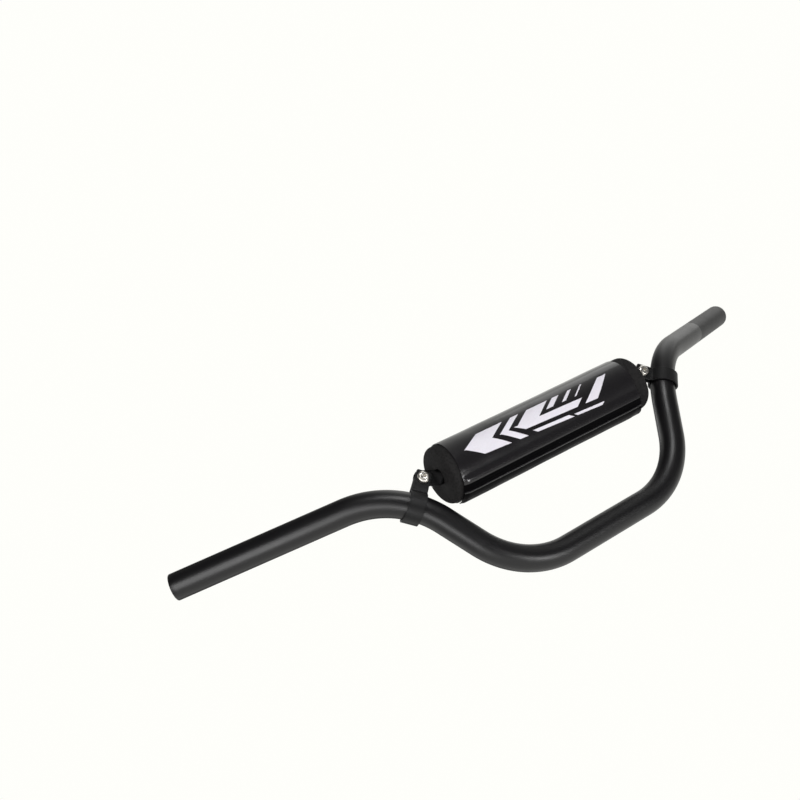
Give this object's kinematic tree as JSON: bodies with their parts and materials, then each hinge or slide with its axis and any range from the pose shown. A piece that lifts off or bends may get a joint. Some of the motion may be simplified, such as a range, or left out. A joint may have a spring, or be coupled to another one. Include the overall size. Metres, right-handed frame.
{
  "type": "motocross handlebar",
  "caption": "Bent black steel handlebar with a low centre clamp section, swept-back grip ends, a strap-clamped crossbar and a round foam pad in a wrapped vinyl cover.",
  "frame": {"origin": "centre of the bar's straight clamp section, on the tube's axis", "axes": "+X along the bar towards the right-hand end in the picture, +Y the side the grips sweep back to, +Z the rise from the clamp section to the crossbar"},
  "size_m": [0.6, 0.1121, 0.1489],
  "materials": {
    "black_paint": "satin black baked paint",
    "strap_paint": "satin black coated sheet steel",
    "zinc_plate": "bright zinc plated steel",
    "pad_foam": "matte black closed-cell foam",
    "cover_vinyl": "glossy black vinyl sheet with a light printed stripe design",
    "closure_tape": "matte black hook and loop tape"
  },
  "bodies": {
    "root": {"handlebar_tube": "black_paint", "crossbar": "black_paint", "strap_clamp_left": "strap_paint", "strap_clamp_right": "strap_paint", "clamp_bolt_left": "zinc_plate", "clamp_bolt_right": "zinc_plate", "clamp_nut_left": "zinc_plate", "clamp_nut_right": "zinc_plate", "pad_foam": "pad_foam", "pad_cover": "cover_vinyl", "loop_tape": "closure_tape", "hook_tape": "closure_tape"}
  },
  "joints": []
}
